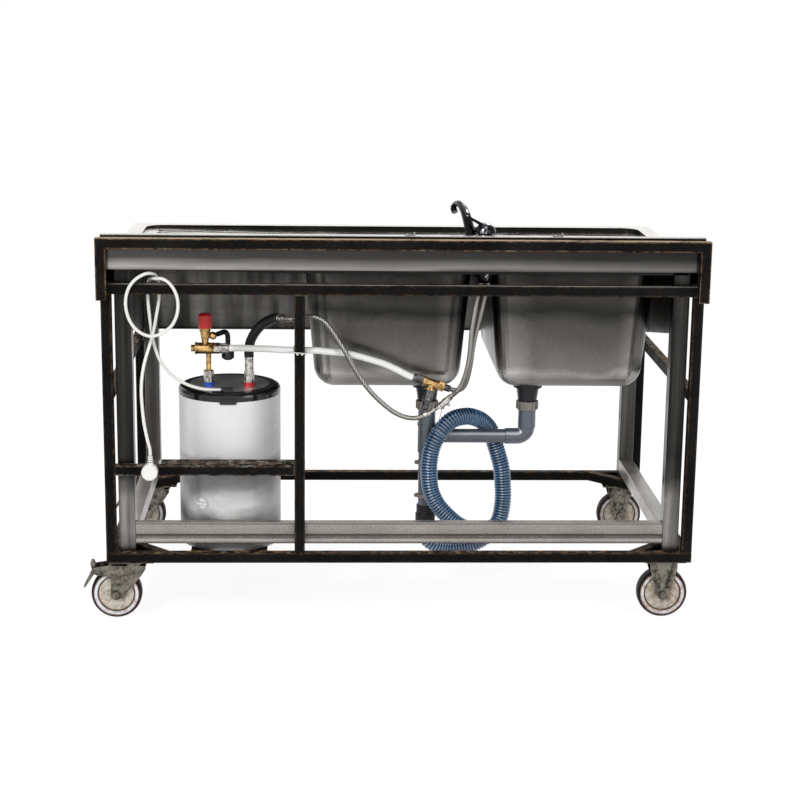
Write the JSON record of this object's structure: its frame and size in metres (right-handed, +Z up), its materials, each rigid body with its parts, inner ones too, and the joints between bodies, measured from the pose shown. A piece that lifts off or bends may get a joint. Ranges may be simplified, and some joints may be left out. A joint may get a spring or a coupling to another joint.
{
  "type": "double sink trolley",
  "caption": "Stainless double sink with a ribbed drainer on a castor trolley, plumbed with an electric water heater, mixer tap, wastes and a hanging ribbed drain hose.",
  "frame": {"origin": "middle of the footprint on the floor", "axes": "+X along the sink towards the bowl end, +Y from the plumbing side to the user's side, +Z up"},
  "size_m": [1.515, 0.831, 1.0323],
  "materials": {
    "black_paint": "satin black paint, worn at the edges",
    "stainless": "brushed",
    "screw_steel": "worn",
    "strainer_steel": "polished",
    "waste_black": "satin",
    "nut_grey": "satin",
    "pipe_grey": "satin",
    "hose_blue": "ribbed",
    "cuff_black": "satin",
    "string_white": "matt",
    "heater_white": "gloss",
    "heater_black": "gloss",
    "disc_steel": "satin",
    "ring_colours": "blue on the cold stub, red on the hot stub",
    "knob_white": "gloss",
    "brass": "satin",
    "nickel": "satin nickel",
    "cap_red": "gloss",
    "hose_white": "gloss",
    "hose_black": "satin",
    "braid_steel": "braided",
    "cord_white": "gloss",
    "tap_chrome": "polished",
    "castor_zinc": "zinc plated",
    "wheel": "cream centre, black tyre"
  },
  "bodies": {
    "root": {"long_rails": "black_paint", "end_rails": "black_paint", "uprights": "black_paint", "corner_braces": "black_paint", "rim_frame": "black_paint", "guard_rails": "black_paint", "shelf_bars": "black_paint", "sink_top": "stainless", "upstand": "stainless", "left_bowl": "stainless", "right_bowl": "stainless", "front_panel": "stainless", "side_panels": "stainless", "sink_legs": "stainless", "rear_lower_rail": "stainless", "side_lower_rails": "stainless", "sink_screws": "screw_steel", "waste_strainers": "strainer_steel", "waste_bodies": "waste_black", "waste_nuts": "nut_grey", "pipe_clips": "nut_grey", "pipe_fittings": "pipe_grey", "waste_pipes": "pipe_grey", "drain_hose": "hose_blue", "hose_cuffs": "cuff_black", "hose_tie": "string_white", "cable_tie": "string_white", "heater_casing": "heater_white", "heater_cap": "heater_black", "relief_outlet": "heater_black", "heater_disc": "disc_steel", "heater_tank": "disc_steel", "stub_rings": "ring_colours", "valve_body": "brass", "inlet_tee": "brass", "valve_nuts": "nickel", "hose_fittings": "nickel", "quick_connector": "nickel", "cold_hose": "hose_white", "hot_hose": "hose_black", "hot_tail": "braid_steel", "mixer_hoses": "braid_steel", "power_cord": "cord_white", "power_plug": "cord_white", "tap_body": "tap_chrome", "castor_plates": "castor_zinc", "fixed_forks": "castor_zinc"},
    "near_swivel": {"near_swivel_fork": "castor_zinc"},
    "far_swivel": {"far_swivel_fork": "castor_zinc"},
    "near_left_wheel": {"near_left_wheel": "wheel"},
    "far_left_wheel": {"far_left_wheel": "wheel"},
    "near_right_wheel": {"near_right_wheel": "wheel"},
    "far_right_wheel": {"far_right_wheel": "wheel"},
    "near_pedal": {"near_brake_pedal": "castor_zinc"},
    "far_pedal": {"far_brake_pedal": "castor_zinc"},
    "spout": {"tap_spout": "tap_chrome"},
    "tap_cap": {"tap_cap": "tap_chrome"},
    "tap_lever": {"tap_lever": "tap_chrome"},
    "test_cap": {"test_cap": "cap_red"},
    "knob": {"thermostat_knob": "knob_white"}
  },
  "joints": [
    {"name": "near_castor_swivel", "type": "hinge", "parent": "root", "child": "near_swivel", "pos_m": [-0.6325, -0.334, 0.14], "axis": [0, 0, 1], "continuous": true},
    {"name": "near_left_wheel_spin", "type": "hinge", "parent": "near_swivel", "child": "near_left_wheel", "pos_m": [-0.6765, -0.334, 0.0625], "axis": [0, 1, 0], "continuous": true},
    {"name": "near_right_wheel_spin", "type": "hinge", "parent": "root", "child": "near_right_wheel", "pos_m": [0.6875, -0.334, 0.0625], "axis": [0, 1, 0], "continuous": true},
    {"name": "near_brake", "type": "hinge", "parent": "near_swivel", "child": "near_pedal", "pos_m": [-0.7285, -0.334, 0.1207], "axis": [0, -1, 0], "range_deg": [0, 12]},
    {"name": "far_castor_swivel", "type": "hinge", "parent": "root", "child": "far_swivel", "pos_m": [-0.6325, 0.359, 0.14], "axis": [0, 0, 1], "continuous": true},
    {"name": "far_left_wheel_spin", "type": "hinge", "parent": "far_swivel", "child": "far_left_wheel", "pos_m": [-0.6765, 0.359, 0.0625], "axis": [0, 1, 0], "continuous": true},
    {"name": "far_right_wheel_spin", "type": "hinge", "parent": "root", "child": "far_right_wheel", "pos_m": [0.6875, 0.359, 0.0625], "axis": [0, 1, 0], "continuous": true},
    {"name": "far_brake", "type": "hinge", "parent": "far_swivel", "child": "far_pedal", "pos_m": [-0.7285, 0.359, 0.1207], "axis": [0, -1, 0], "range_deg": [0, 12]},
    {"name": "spout_swivel", "type": "hinge", "parent": "root", "child": "spout", "pos_m": [0.2235, -0.3255, 0.92], "axis": [0, 0, 1], "range_deg": [-90, 5]},
    {"name": "tap_turn", "type": "hinge", "parent": "root", "child": "tap_cap", "pos_m": [0.2235, -0.3255, 0.966], "axis": [0, 0, 1], "range_deg": [-10, 40]},
    {"name": "lever_lift", "type": "hinge", "parent": "tap_cap", "child": "tap_lever", "pos_m": [0.2235, -0.3255, 0.966], "axis": [-0.1736, 0.9848, 0], "range_deg": [0, 20]},
    {"name": "test_cap_turn", "type": "hinge", "parent": "root", "child": "test_cap", "pos_m": [-0.4575, -0.2325, 0.73], "axis": [0, 0, 1], "range_deg": [0, 120]},
    {"name": "thermostat_turn", "type": "hinge", "parent": "root", "child": "knob", "pos_m": [-0.463, -0.31249, 0.284], "axis": [-0.5, -0.866, 0], "range_deg": [-90, 90]}
  ]
}
